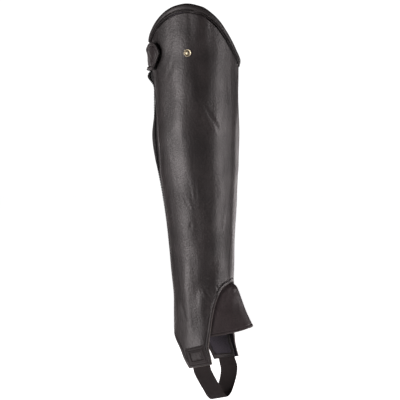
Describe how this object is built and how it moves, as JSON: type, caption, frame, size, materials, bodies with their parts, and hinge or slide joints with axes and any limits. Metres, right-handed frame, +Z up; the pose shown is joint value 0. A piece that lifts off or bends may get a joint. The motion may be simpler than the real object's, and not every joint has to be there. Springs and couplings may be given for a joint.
{
  "type": "leather half chap",
  "caption": "Hollow dark leather gaiter for the lower leg, with a curved top edge, back zip under a snap flap, instep gusset and elastic foot strap.",
  "frame": {"origin": "centre of the leg at the calf's fullest section, where the leg holds the chap up", "axes": "+Z up the leg, +X towards the toe, -Y towards the outer side of the right leg"},
  "size_m": [0.1436, 0.1099, 0.5094],
  "materials": {
    "leather": "satin, fine pebble grain",
    "lining": "matt knitted textile",
    "elastic": "matt woven elastic",
    "zip": "matt woven tape",
    "nickel": "satin",
    "brass": "antique"
  },
  "bodies": {
    "root": {"main_panel": "leather", "top_binding": "leather", "snap_flap": "leather", "instep_gusset": "leather", "tab_patch": "leather", "tab_facing": "lining", "elastic_panel": "elastic", "foot_strap": "elastic", "zip_tape_outer": "zip", "zip_tape_rear": "zip", "zip_chain": "zip", "zip_slider": "nickel", "zip_pull": "nickel", "snap_stud": "nickel", "brass_stud": "brass"}
  },
  "joints": []
}
